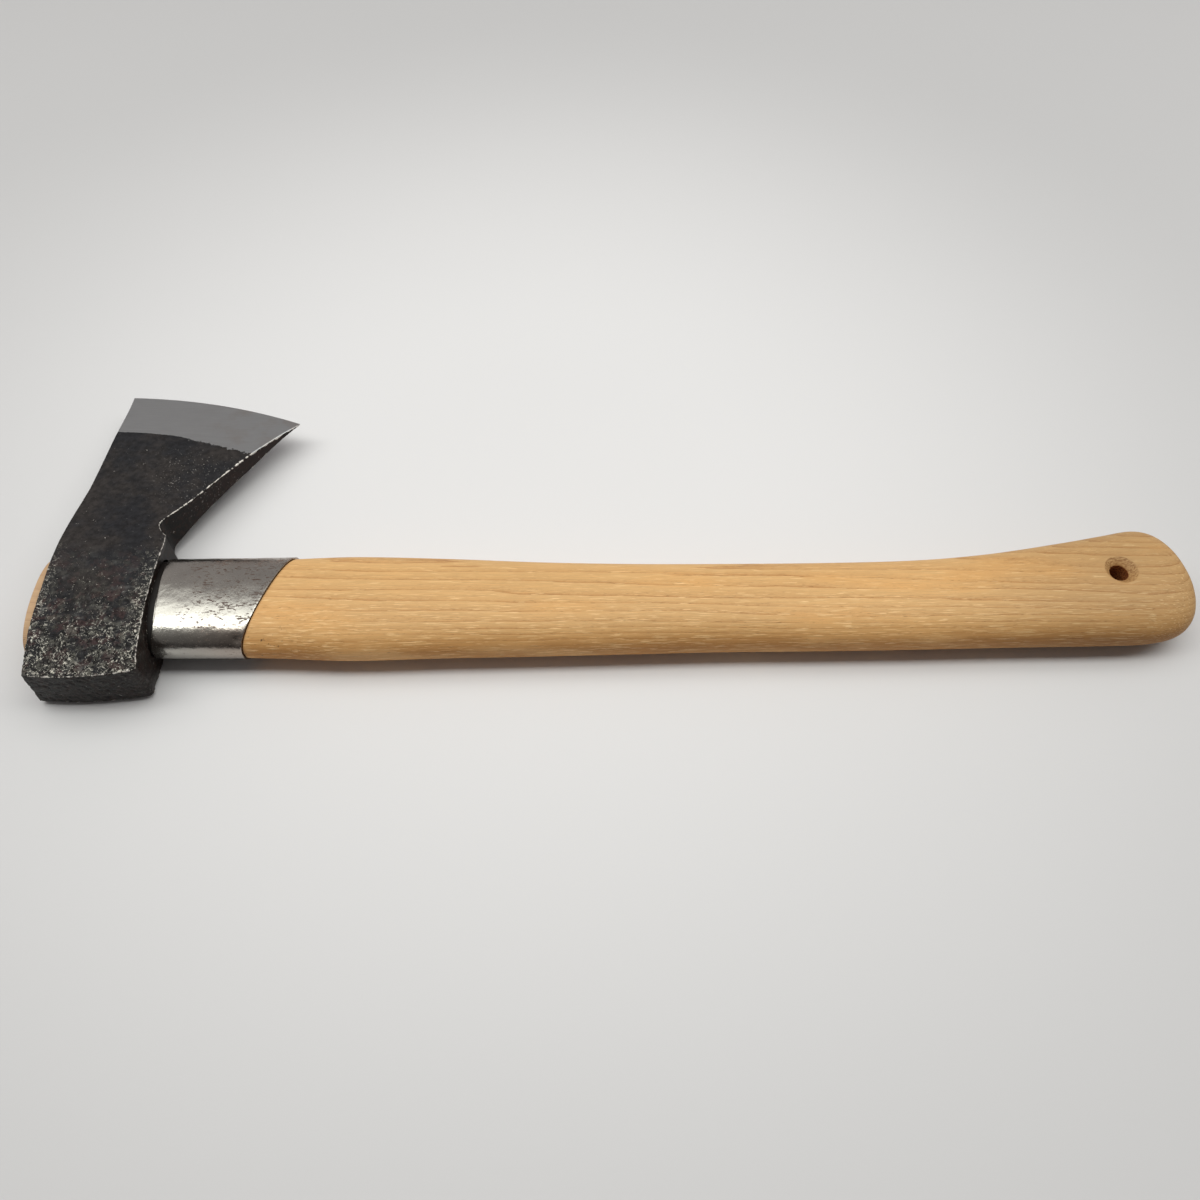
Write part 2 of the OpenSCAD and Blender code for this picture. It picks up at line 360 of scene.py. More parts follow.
def head_rings():
    """Closed rings round the head: upper surface, handle side, lower surface, top side."""
    tops, handles, bows, depths = head_rows()
    across = handles - tops
    width = np.linalg.norm(across, axis=1)
    out = np.stack([-across[:, 1], across[:, 0]], axis=1) / width[:, None]
    handle_in = round_in(depths, HANDLE_CORNER)
    top_side_in = round_in(depths, TOP_CORNER)
    cheek_in = round_in(depths, CHEEK_ROUND)

    def point(s):
        """Places at distances s from the top side, [row, step]."""
        u = s / width[:, None]
        lift = bows[:, None] * 4 * u * (1 - u)
        return tops[:, None] + across[:, None] * u[..., None] + out[:, None] * lift[..., None]

    def upper(s):
        at = point(s)
        return at, half_thickness(at) - cheek_in[:, None]

    arc = np.linspace(0, math.pi / 2, ARC_STEPS + 1)
    wall = np.linspace(1, -1, WALL_STEPS + 1)[1:-1]
    inward = np.concatenate([1 - np.sin(arc), np.zeros(len(wall)), (1 - np.sin(arc))[::-1]])
    straight = np.concatenate([np.ones(len(arc)), wall, -np.ones(len(arc))])
    curved = np.concatenate([np.cos(arc), np.zeros(len(wall)), -np.cos(arc)[::-1]])

    def side(from_handle):
        drawn_in = handle_in if from_handle else top_side_in
        s = drawn_in[:, None] + CHEEK_ROUND * inward[None]
        at, t = upper(width[:, None] - s if from_handle else s)
        drop = np.minimum(CHEEK_ROUND, t / 2)
        return np.concatenate([at, ((t - drop) * straight + drop * curved)[..., None]], axis=2)

    first = top_side_in + CHEEK_ROUND
    last = width - handle_in - CHEEK_ROUND
    columns = np.linspace(0, 1, HEAD_COLUMNS + 1)[None]
    at, t = upper(mix(first[:, None], last[:, None], columns))
    top = np.concatenate([at, t[..., None]], axis=2)
    bottom = top * np.array((1, 1, -1))
    handle_side, top_side_wall = side(True), side(False)
    return np.concatenate([
        top,
        handle_side[:, 1:-1],
        bottom[:, ::-1],
        top_side_wall[:, -2:0:-1],
    ], axis=1)


def poll_face(ring, start):
    """Points and faces that fill the poll end with a fine grid inside the ring."""
    columns, steps = HEAD_COLUMNS, len(ring) // 2 - HEAD_COLUMNS
    edge = {}
    for j in range(columns + 1):
        edge[j, 0] = j
        edge[j, steps] = 2 * columns + steps - j
    for i in range(1, steps):
        edge[columns, i] = columns + i
        edge[0, i] = (2 * columns + 2 * steps - i) % len(ring)
    points, number = [], dict(edge)
    for j in range(1, columns):
        for i in range(1, steps):
            u, v = j / columns, i / steps
            flat = mix(ring[edge[j, 0]], ring[edge[j, steps]], v)
            flat = flat + mix(ring[edge[0, i]], ring[edge[columns, i]], u)
            upper = mix(ring[edge[0, 0]], ring[edge[columns, 0]], u)
            lower = mix(ring[edge[0, steps]], ring[edge[columns, steps]], u)
            number[j, i] = start + len(points)
            points.append(flat - mix(upper, lower, v))
    faces = [
        (number[j, i], number[j + 1, i], number[j + 1, i + 1], number[j, i + 1])
        for j in range(columns)
        for i in range(steps)
    ]
    return points, faces


def edge_face(ring, first):
    """Faces that close the head along the cutting edge."""
    columns, steps = HEAD_COLUMNS, len(ring) // 2 - HEAD_COLUMNS
    faces = [
        (first + j, first + j + 1, first + 2 * columns + steps - j - 1, first + 2 * columns + steps - j)
        for j in range(columns)
    ]
    faces.append(tuple(first + columns + i for i in range(steps + 1)))
    faces.append((first, *[first + 2 * columns + steps + i for i in range(steps)]))
    return faces


def eye_rings(reach_low, reach_high, gap=0.0, count=96):
    """Ovals through the eye, which widen towards the end of the tongue."""
    x = np.array([reach_low, SPREAD_END, reach_high])
    spread = np.array([TONGUE_SPREAD, TONGUE_SPREAD, 0]) + gap
    turn = turns(count)
    y = EYE_MIDDLE + (EYE_HALF_WIDTH + spread[:, None]) * squared(np.cos(turn))
    z = (EYE_HALF_DEPTH + spread[:, None]) * squared(np.sin(turn))
    return np.stack([np.repeat(x[:, None], count, axis=1), y, z], axis=2)


def arris_distances(places):
    """Distance to each of the head's outer faces: cheek, top side, handle side and poll."""
    at = places[:, :2]
    cheek = np.abs(half_thickness(at) - np.abs(places[:, 2]))
    top = np.abs(at[:, 0] - top_side(np.clip(at[:, 1], -POLL_REACH, TOE[1]))[:, 0])
    t = np.linspace(0, 1, OUTLINE_STEPS)
    line = np.concatenate([np.array(SHOULDER), bezier(NOTCH, t)[1:], bezier(BEARD, t)[1:]])
    handle = np.full(len(at), 1e9)
    for a, b in zip(line[:-1], line[1:]):
        along = np.clip((at - a) @ (b - a) / ((b - a) @ (b - a)), 0, 1)
        handle = np.minimum(handle, np.linalg.norm(at - a - along[:, None] * (b - a), axis=1))
    return cheek, top, handle, at[:, 1] + POLL_REACH


def wear_of(places):
    """How bare each place is rubbed and how bright its painted rim highlight is, from 0 to 1: along the
    arrises, and on the poll's two corners.
    """
    cheek, top, handle, poll = arris_distances(places)
    arrises = (
        (handle, cheek, 1.1),
        (poll, cheek, 1.0),
        (top, cheek, 0.5),
        (handle, poll, 0.45),
    )
    worn = np.zeros(len(places))
    for a, b, strength in arrises:
        worn = np.maximum(worn, strength * np.exp(-(np.maximum(a, b) / RUB_WIDTH) ** 2))
    corner = np.exp(-((handle + poll) / CORNER_REACH) ** 2) * (cheek < 1)
    return np.maximum(worn, CORNER_RUB * corner)


def rim_of(places):
    """Distance from each place on a cheek to the nearest rim; the top side counts as 1.5 mm further."""
    _, top, handle, poll = arris_distances(places)
    return np.minimum(np.minimum(handle, poll), top + 1.5)


def settle(places):
    """Bows and skews the poll and leans the shoulder's arris, as hand forging leaves them."""
    x, y, z = places.T
    near_poll = smooth((-20 - y) / 10)
    from_crown = x - POLL_CROWN
    depth = np.where(from_crown > 0, BOW_HANDLE_SIDE[0], BOW_TOP_SIDE[0])
    reach = np.where(from_crown > 0, BOW_HANDLE_SIDE[1], BOW_TOP_SIDE[1])
    bow = depth * (from_crown / reach) ** 2 * near_poll
    low = (POLL_THICKNESS / 2 - z) / POLL_THICKNESS * smooth((-14 - y) / 16)
    skew = mix(*POLL_SKEW, smooth((x + 18) / 36)) * low
    by_arris = smooth(x / 14) * smooth((np.abs(z) - 6) / 4)
    lean = np.interp(y, LEAN_PLACES, LEANS) * by_arris
    return np.stack([x + lean - skew, y + bow + POLL_DROP * low, z], axis=1)


def forge(piece):
    """Presses hammer marks and scale pits into the head, and stores what its material reads."""
    places, normals = vertex_arrays(piece)
    edge = from_edge(places[:, :2])
    forged = smooth((edge - 24) / 12)
    rough = smooth((14 - places[:, 1]) / 26)
    hammer = 0.16 * (1 + field(places, 17, 1)) + 0.05 * (1 + field(places, 5.5, 2))
    flakes = smooth((field(places, 3.1, 3) + 0.4 * field(places, 1.3, 4) - 0.08) / 0.12) * 0.13
    pits = smooth((field(places, 1.15, 5) - 0.22) / 0.3) * 0.2
    depth = forged * (0.75 * hammer + rough * (flakes + pits))
    put_vertices(piece, settle(places - normals * depth[:, None]))
    paint_points(piece, "edge_mm", edge)
    paint_points(piece, "rim_mm", rim_of(places))
    paint_points(piece, "wear", wear_of(places))


def make_head(material):
    """Head with its eye cut through, forged surface and rubbed arrises with a painted rim highlight."""
    rings = head_rings()
    count = rings.shape[1]
    points = rings.reshape(-1, 3)
    extra, poll = poll_face(rings[0], len(points))
    faces = tube_faces(len(rings), count) + poll + edge_face(rings[-1], (len(rings) - 1) * count)
    piece = make_piece("head_forging", np.concatenate([points, np.array(extra)]), faces)
    cut(piece, loft("eye_cutter", eye_rings(-EYE_CUTTER_REACH, EYE_CUTTER_REACH, gap=EYE_GAP)))
    forge(piece)
    shade(piece, material, sharp=50)
    own(piece, "head")


# ---------------------------------------------------------------- handle

HANDLE_POINTS = 120
JOINT_GAP = 0.25
JOINT_EDGE = 0.22
NECK_SLACK = 0.05
TONGUE_ROOT = 14.0
TONGUE_DRAWN_IN = 0.12
TONGUE_CHAMFER = 0.25
UPRIGHT_FROM = 110
CUTTER_REACH = 16.0


def station_at(stations, x):
    """Blade side, poll side and half depth at places x along a dense list of stations."""
    return [np.interp(x, stations[:, 0], stations[:, k]) for k in (1, 2, 3)]


def slanted_ring(stations, middle, tilt, skin=0.0, count=HANDLE_POINTS):
    """Oval whose plane crosses the axis at middle, tilted by a share of the collar's slant."""
    turn = turns(count)
    x = np.full(count, float(middle))
    for _ in range(6):
        blade, poll, half = station_at(stations, x)
        y = (blade + poll) / 2 + ((blade - poll) / 2 - skin) * squared(np.cos(turn))
        x = middle + tilt * COLLAR_SLANT * y
    return np.stack([x, y, (half - skin) * squared(np.sin(turn))], axis=1)


def shoulder_ring(stations, skin, count, out=0.0):
    """Oval along the head's shoulder; it stands off by a gap that is widest on the blade side."""
    lean = (SHOULDER[1][0] - SHOULDER[0][0]) / (SHOULDER[1][1] - SHOULDER[0][1])
    foot = SHOULDER[0][0] - lean * SHOULDER[0][1]
    ring = slanted_ring(stations, foot, lean / COLLAR_SLANT, skin, count)
    ring[:, 0] += out + mix(*SHOULDER_GAP, smooth((ring[:, 1] + 19) / 12))
    return ring


def butt_ring(t, half):
    """Oval between the two sides of the rounded butt at t, from 0 to 1."""
    turn = turns(HANDLE_POINTS)[:, None]
    blade = bezier(BUTT_BLADE_SIDE, np.array([t]))[0]
    poll = bezier(BUTT_POLL_SIDE, np.array([t]))[0]
    at = (blade + poll) / 2 + (blade - poll) / 2 * squared(np.cos(turn))
    return np.concatenate([at, half * math.sqrt(max(0, 1 - t ** 3)) * squared(np.sin(turn))], axis=1)


def tongue_rings():
    """Rings from the tongue's end, which lies just inside the wedge's, to its root."""
    oval = eye_rings(-TONGUE_REACH, TONGUE_ROOT, count=HANDLE_POINTS)
    end = TONGUE_DRAWN_IN - TONGUE_REACH
    rings = []
    for x in [end, end + TONGUE_CHAMFER, *np.arange(-21.5, TONGUE_ROOT - 0.1, 0.9)]:
        t = max(0, (x - SPREAD_END) / (TONGUE_ROOT - SPREAD_END))
        ring = mix(oval[1], oval[2], t)
        ring[:, 0] = x
        rings.append(ring)
    inward = -np.sign(rings[0] - np.array((end, EYE_MIDDLE, 0)))
    rings[0] = rings[0] + inward * TONGUE_CHAMFER
    return rings


def handle_rings():
    """Rings along the tongue, the neck under the collar, the grip and the butt."""
    grip = through(GRIP, np.linspace(0, 1, 900))
    rings = tongue_rings()
    start = COLLAR_END + JOINT_GAP
    for share in np.linspace(0, 1, 14):
        middle = mix(TONGUE_ROOT + 0.5, start, share)
        rings.append(slanted_ring(NECK, middle, share, COLLAR_WALL + NECK_SLACK))
    rings.append(slanted_ring(grip, start, 1, JOINT_EDGE))
    rings.append(slanted_ring(grip, start + 0.07, 1, 0.07))
    start += JOINT_EDGE
    rings.append(slanted_ring(grip, start, 1))
    for share in np.linspace(0, 1, 60)[1:]:
        rings.append(slanted_ring(grip, mix(start, UPRIGHT_FROM, share), 1 - share))
    for x in np.arange(UPRIGHT_FROM + 1, GRIP[-1][0], 1.0):
        rings.append(slanted_ring(grip, x, 0))
    for turn in np.linspace(0, 1, 46)[:-1]:
        rings.append(butt_ring(math.sin(turn * math.pi / 2), GRIP[-1][3]))
    rings.append(butt_ring(0.9995, GRIP[-1][3]))
    return np.array(rings)


def round_cutter(name, sections, count=72):
    """Turned cutter along the hanging hole: sections are (height, radius), in millimetres."""
    turn = turns(count)
    x, y = HOLE_MIDDLE.x + np.zeros(count), HOLE_MIDDLE.y + np.zeros(count)
    rings = [
        np.stack([x + r * np.cos(turn), y + r * np.sin(turn), np.full(count, z)], axis=1)
        for z, r in sections
    ]
    return loft(name, np.array(rings))


def node_cutter(name):
    """Copy of a CAD node that cuts the seat of that node out of a piece around it."""
    node = frame["nodes"][name]
    cutter = bpy.data.objects.new(name + "_cutter", node.data.copy())
    cutter.matrix_world = node.matrix_world
    bpy.context.scene.collection.objects.link(cutter)
    return cutter


def make_handle(material):
    """Handle with its flared hanging hole, and the seats of the wedge and the staple."""
    piece = loft("handle_wood", handle_rings())
    flare = HOLE_RADIUS + CUTTER_REACH - HOLE_WALL
    sections = [
        (-CUTTER_REACH, flare),
        (-HOLE_WALL, HOLE_RADIUS),
        (HOLE_WALL, HOLE_RADIUS),
        (CUTTER_REACH, flare),
    ]
    cut(piece, round_cutter("hole_cutter", sections))
    cut(piece, node_cutter("eye_wedge"))
    cut(piece, node_cutter("wedge_staple"))
    shade(piece, material, sharp=32)
    own(piece, "handle")


# ---------------------------------------------------------------- collar

COLLAR_POINTS = 168
COLLAR_LIP = 0.8
COLLAR_EDGE = 0.2
INNER_EDGE = 0.1
INNER_SETBACK = 0.3
DENT = np.array((45.6, -14.9, 5.6))
DENT_DEPTH = 0.5
DENT_RADIUS = 1.4


def collar_rings():
    """Rings out along the sleeve's outside, over its slanted end and back along the inside."""
    rings = []
    for turn in np.linspace(0, math.pi / 2, 7):
        skin = COLLAR_LIP * (1 - math.sin(turn))
        rings.append(shoulder_ring(NECK, skin, COLLAR_POINTS, COLLAR_LIP * (1 - math.cos(turn))))
    lip_ring = rings[-1]
    before_edge = COLLAR_END - COLLAR_EDGE
    end_ring = slanted_ring(NECK, before_edge, 1, 0.0, COLLAR_POINTS)
    for share in np.linspace(0, 1, 60)[1:]:
        rings.append(mix(lip_ring, end_ring, share))
    for turn in np.linspace(0, math.pi / 2, 4)[1:]:
        middle = before_edge + COLLAR_EDGE * math.sin(turn)
        skin = COLLAR_EDGE * (1 - math.cos(turn))
        rings.append(slanted_ring(NECK, middle, 1, skin, COLLAR_POINTS))
    rings.append(slanted_ring(NECK, COLLAR_END, 1, COLLAR_WALL - INNER_EDGE, COLLAR_POINTS))
    inner_end = slanted_ring(NECK, COLLAR_END - INNER_EDGE, 1, COLLAR_WALL, COLLAR_POINTS)
    inner_start = shoulder_ring(NECK, COLLAR_WALL, COLLAR_POINTS, INNER_SETBACK)
    for share in np.linspace(0, 1, 12):
        rings.append(mix(inner_end, inner_start, share))
    return np.array(rings)


def make_collar(material):
    """Sleeve with a faintly wavy outside and a dent by its lower end."""
    rings = collar_rings()
    piece = make_piece("collar_sleeve", rings, tube_faces(len(rings), COLLAR_POINTS, closed=True))
    places, normals = vertex_arrays(piece)
    outside = np.abs(normals[:, 0]) < 0.5
    waves = 0.07 * field(places, 11, 6) + 0.03 * field(places, 4.5, 7) - 0.08
    reach = np.linalg.norm(places - DENT, axis=1)
    dent = DENT_DEPTH * np.exp(-(reach / DENT_RADIUS) ** 2)
    put_vertices(piece, places - normals * ((dent - waves) * outside)[:, None])
    shade(piece, material, sharp=40)
    own(piece, "collar")


# ---------------------------------------------------------------- materials

class Paint:
    """Builds one procedural material node by node. Sizes are in millimetres."""

    def __init__(self, name):
        self.material = bpy.data.materials.new(name)
        self.material.use_nodes = True
        self.tree = self.material.node_tree
        self.shader = self.tree.nodes["Principled BSDF"]
        spot = self.node("TexCoord").outputs["Object"]
        moved = self.node("VectorMath", {0: spot, 1: tuple(EYE)}, operation="SUBTRACT").outputs[0]
        self.place = self.node("VectorMath", {0: moved, "Scale": 1 / MM}, operation="SCALE").outputs[0]
        parts = self.node("SeparateXYZ", {0: self.place}).outputs
        self.x, self.y, self.z = parts[0], parts[1], parts[2]
        facing = self.node("SeparateXYZ", {0: self.node("NewGeometry").outputs["True Normal"]}).outputs
        self.level = self.calc("ABSOLUTE", facing[2])

    def node(self, kind, values=None, **settings):
        made = self.tree.nodes.new("ShaderNode" + kind)
        for key, value in settings.items():
            setattr(made, key, value)
        for socket, value in (values or {}).items():
            self.put(made.inputs[socket], value)
        return made

    def put(self, socket, value):
        if isinstance(value, bpy.types.NodeSocket):
            self.tree.links.new(value, socket)
        else:
            socket.default_value = value

    def calc(self, operation, a, b=0.0):
        return self.node("Math", {0: a, 1: b}, operation=operation).outputs[0]

    def stretch(self, sizes, turn):
        """Place divided by feature sizes along x, y and z, turned about Z first."""
        values = {"Vector": self.place, "Angle": turn}
        spin = self.node("VectorRotate", values, rotation_type="Z_AXIS").outputs[0]
        return self.node("VectorMath", {0: spin, 1: tuple(sizes)}, operation="DIVIDE").outputs[0]

    def noise(self, size, detail=2.0, rough=0.5, seed=0.0, warp=0.0, turn=0.0):
        """Noise about 0.5 with features of one size, or of three sizes along x, y and z."""
        sizes = size if isinstance(size, tuple) else (size, size, size)
        stretched = self.stretch(sizes, turn)
        spot = self.node("VectorMath", {0: stretched, 1: (seed, seed, seed)}).outputs[0]
        values = {"Vector": spot, "Scale": 1.0, "Detail": detail, "Roughness": rough, "Distortion": warp}
        return self.node("TexNoise", values).outputs[0]

    def step(self, value, low, high):
        """0 below low and 1 above high, with a smooth rise between; low may be the larger."""
        values = {"Value": value, "From Min": low, "From Max": high}
        return self.node("MapRange", values, interpolation_type="SMOOTHSTEP").outputs[0]

    def scale(self, value, low, high):
        """Value from 0 to 1 stretched to run from low to high."""
        return self.node("MapRange", {"Value": value, "To Min": low, "To Max": high}).outputs[0]

    def both(self, *masks):
        made = masks[0]
        for mask in masks[1:]:
            made = self.calc("MULTIPLY", made, mask)
        return made

    def blend(self, mask, a, b):
        a = (*a, 1) if isinstance(a, tuple) else a
        b = (*b, 1) if isinstance(b, tuple) else b
        return self.node("Mix", {0: mask, 6: a, 7: b}, data_type="RGBA").outputs[2]

    def tint(self, colour, factor):
        """Colour made darker or lighter by a factor that varies over the surface."""
        grey = self.node("CombineColor", {0: factor, 1: factor, 2: factor}).outputs[0]
        values = {0: 1.0, 6: colour, 7: grey}
        return self.node("Mix", values, data_type="RGBA", blend_type="MULTIPLY").outputs[2]

    def between(self, mask, a, b):
        """Number that runs from a to b as the mask goes from 0 to 1."""
        return self.node("Mix", {0: mask, 2: a, 3: b}, data_type="FLOAT").outputs[0]

    def reach_from(self, middle):
        """Distance in plan from a point, in millimetres."""
        flat = self.node("CombineXYZ", {0: self.x, 1: self.y}).outputs[0]
        return self.node("VectorMath", {0: flat, 1: middle}, operation="DISTANCE").outputs["Value"]

    def attribute(self, name):
        return self.node("Attribute", attribute_name=name).outputs["Fac"]

    def bump(self, height, depth, normal=None):
        values = {"Height": height, "Distance": depth * MM, "Strength": 1.0}
        if normal is not None:
            values["Normal"] = normal
        return self.node("Bump", values).outputs[0]

    def specular(self, level):
        self.shader.inputs["Specular IOR Level"].default_value = level

    def finish(self, **sockets):
        """Fills the shader's sockets, named in small letters, and gives the material."""
        for name, value in sockets.items():
            self.put(self.shader.inputs[name.replace("_", " ").title()], value)
        return self.material


# Colours of the head: cheeks, side walls, rough scale, bare steel with painted glints and rim highlights,
# and ground bevel
CHEEK_BLUE = (0.0150, 0.0150, 0.0175)
CHEEK_BROWN = (0.0270, 0.0232, 0.0222)
WALL_BLACK = (0.0040, 0.0034, 0.0030)
WALL_BROWN = (0.0150, 0.0075, 0.0055)
WALL_RED = (0.020, 0.0080, 0.0060)
SCALE_PURPLE = (0.050, 0.028, 0.028)
SCALE_BARE = (0.150, 0.145, 0.122)
SCALE_SMUDGE = (0.155, 0.155, 0.150)
SCALE_PIT = (0.006, 0.005, 0.005)
FLECK_GLINT_WHITE = (0.80, 0.77, 0.68)
SPECK_GREY = (0.36, 0.34, 0.32)
RUBBED_STEEL_HIGHLIGHT = (0.74, 0.70, 0.65)
GROUND_DARK = (0.370, 0.380, 0.390)
GROUND_LIGHT = (0.490, 0.505, 0.510)
GROUND_STAIN = (0.34, 0.285, 0.25)
BEVEL_BORDER = 19.5


def smooth_scale(p, cheek, small):
    """Smooth dark cheeks with faint brown and blue clouds, and darker side walls."""
    cloud = p.noise(17.0, 4, 0.65, seed=1)
    cheeks = p.blend(p.step(cloud, 0.40, 0.62), CHEEK_BLUE, CHEEK_BROWN)
    cheeks = p.tint(cheeks, p.scale(p.step(small, 0.30, 0.70), 0.62, 1.42))
    walls = p.blend(p.step(small, 0.46, 0.60), WALL_BLACK, WALL_BROWN)
    walls = p.blend(p.scale(p.step(p.x, 8.0, 30.0), 0.0, 0.6), walls, WALL_RED)
    walls = p.tint(walls, p.scale(small, 0.4, 1.6))
    return p.blend(cheek, walls, cheeks)


def rough_scale(p, colour, rough, near_poll, patch, pits):
    """Purple, bare and smudged patches and dark pits laid over the smooth scale."""
    purple = p.both(rough, p.step(p.noise(4.2, 4, 0.65, seed=5), 0.49, 0.60))
    colour = p.blend(p.scale(purple, 0.0, 0.85), colour, SCALE_PURPLE)
    bare = p.both(rough, p.step(patch, 0.48, 0.62), p.scale(near_poll, 0.30, 0.60))
    colour = p.blend(bare, colour, SCALE_BARE)
    smudge = p.both(rough, p.step(p.noise(7.0, 5, 0.7, seed=17), 0.54, 0.66))
    colour = p.blend(p.scale(smudge, 0.0, 0.45), colour, SCALE_SMUDGE)
    return p.blend(p.both(rough, pits, p.scale(near_poll, 0.4, 0.95)), colour, SCALE_PIT)


def scale_flecks(p, rough, near_poll):
    """Where bright flecks and curled ridges show: bare steel where the scale has broken away, painted near
    white as glints of the light.
    """
    near_rim = p.step(p.attribute("rim_mm"), 7.0, 0.5)
    vein = p.calc("ABSOLUTE", p.calc("SUBTRACT", p.noise(2.3, 2, 0.5, seed=7, warp=1.3), 0.5))
    open_scale = p.step(p.noise(6.0, 4, 0.7, seed=14), 0.45, 0.56)
    often = p.calc("MAXIMUM", p.both(near_poll, open_scale), near_rim)
    broken = p.step(p.noise(1.3, 3, 0.6, seed=15), 0.46, 0.56)
    curl = p.both(rough, p.step(vein, 0.040, 0.016), broken, often)
    spark = p.calc("ADD", p.noise(0.70, 3, 0.7, seed=8), p.scale(often, -0.03, 0.030))
    dot = p.both(rough, p.step(spark, 0.625, 0.665))
    return p.calc("MAXIMUM", curl, dot)


def beard_specks(p, edge):
    """Where a few bright specks show on the blade, by the beard."""
    by_beard = p.both(p.step(edge, 24.0, 30.0), p.step(edge, 60.0, 40.0), p.step(p.x, -4.0, 14.0))
    speck = p.step(p.noise((0.9, 0.6, 0.6), 3, 0.65, seed=9, turn=0.9), 0.635, 0.69)
    return p.scale(p.both(by_beard, speck), 0.0, 0.8)


def ground_bevel(p, edge):
    """Where the edge is ground bright; the border is ragged towards the heel."""
    heelward = p.step(p.x, 6.0, 20.0)
    ragged = p.both(p.scale(p.noise(1.7, 5, 0.75, seed=11), -2.6, 2.6), p.scale(heelward, 0.22, 1.0))
    border = p.calc("ADD", p.calc("ADD", edge, ragged), p.scale(heelward, 0.0, -1.5))
    ground = p.step(border, BEVEL_BORDER + 0.15, BEVEL_BORDER - 0.15)
    return p.both(ground, p.step(p.level, 0.55, 0.80))


def forged_steel():
    """Black forging scale, rough and worn towards the poll, with a ground bevel along the edge."""
    p = Paint("forged_steel")
    edge = p.attribute("edge_mm")
    cheek = p.step(p.level, 0.45, 0.80)
    small = p.noise(1.9, 5, 0.65, seed=2)
    grain = p.noise(0.50, 3, 0.7, seed=3)
    patch = p.noise(3.3, 7, 0.74, seed=6)
    pits = p.step(p.noise(1.25, 4, 0.65, seed=13), 0.48, 0.40)
    strokes = p.noise((7.0, 0.30, 1.0), 4, 0.65, seed=12)

    # Rough zone round the eye and the poll, over the smooth scale
    reach = p.calc("ADD", p.y, p.scale(p.noise(10.0, 3, 0.6, seed=4), -13.0, 13.0))
    rough = p.both(p.step(reach, 24.0, -4.0), p.scale(cheek, 0.06, 1.0))
    near_poll = p.step(p.y, 2.0, -22.0)
    colour = rough_scale(p, smooth_scale(p, cheek, small), rough, near_poll, patch, pits)
    fleck = scale_flecks(p, rough, near_poll)
    # Painted glints: flecks of bare steel are given a near-white colour.
    colour = p.blend(p.scale(fleck, 0.0, 0.9), colour, FLECK_GLINT_WHITE)
    colour = p.blend(beard_specks(p, edge), colour, SPECK_GREY)

    # Arrises rubbed down to bare steel, painted bright as a highlight along the rims
    broken = p.scale(p.noise(1.7, 5, 0.75, seed=10), -2.30, 1.90)
    rub = p.step(p.calc("ADD", p.attribute("wear"), broken), 0.46, 0.80)
    colour = p.blend(rub, colour, RUBBED_STEEL_HIGHLIGHT)

    # Ground bevel with fine strokes, and a faint stain towards the heel
    ground = ground_bevel(p, edge)
    stain = p.both(p.step(p.x, 6.0, 34.0), p.step(p.noise(9.0, 3, 0.6, seed=16), 0.40, 0.70))
    steel = p.blend(strokes, GROUND_DARK, GROUND_LIGHT)
    steel = p.blend(p.scale(stain, 0.0, 0.45), steel, GROUND_STAIN)
    colour = p.blend(ground, colour, steel)

    bare = p.calc("MAXIMUM", p.scale(rub, 0.0, 0.5), p.scale(fleck, 0.0, 0.4))
    metal = p.calc("MAXIMUM", ground, bare)
    dull = p.calc("ADD", p.scale(small, 0.40, 0.56), p.scale(rough, 0.0, 0.10))
    gloss = p.between(metal, dull, p.scale(strokes, 0.30, 0.42))
    relief = p.bump(p.both(p.step(edge, 19.0, 21.0), grain), 0.05)
    relief = p.bump(p.both(rough, p.calc("SUBTRACT", fleck, pits)), 0.10, relief)
    relief = p.bump(p.both(rough, patch), 0.50, relief)
    relief = p.bump(p.both(ground, strokes), 0.004, relief)
    p.specular(0.17)
    return p.finish(base_color=colour, metallic=metal, roughness=gloss, normal=relief)


# Colours of the wood, and factors on its light or dark colour
HICKORY_LIGHT = (0.715, 0.430, 0.182)
HICKORY_DARK = (0.45, 0.192, 0.054)
BEECH_LIGHT = (0.52, 0.31, 0.15)
BEECH_DARK = (0.36, 0.19, 0.08)
LOW_SIDE_SHADE = (0.78, 0.60, 0.38)
CLOUD = (0.98, 0.91, 0.82)
PORE = (0.42, 0.42, 0.42)
PALE_FLECK = (1.3, 1.5, 1.8)
FUNNEL_DARK = (0.34, 0.16, 0.05)
FUNNEL_LIGHT = (0.66, 0.39, 0.16)
BORE_SHADE_DARK = (0.13, 0.030, 0.008)
BORE_SHADE_LIGHT = (0.55, 0.20, 0.06)
JOINT_STAIN = (0.16, 0.075, 0.028)
TONGUE_WOOD = (0.46, 0.32, 0.23)
GAP_SHADOW_BLACK = (0.008, 0.006, 0.005)
GRIME = (0.06, 0.035, 0.02)

# Growth rings: the pith line lies far below the handle, on its poll side
PITH_Y = -40.0
PITH_Z = -62.0
RING_SPACING = 1.85


def toned(colour, factors):
    """Colour with red, green and blue each multiplied by a factor, and kept to 1 at most."""
    return tuple(min(1.0, c * k) for c, k in zip(colour, factors))


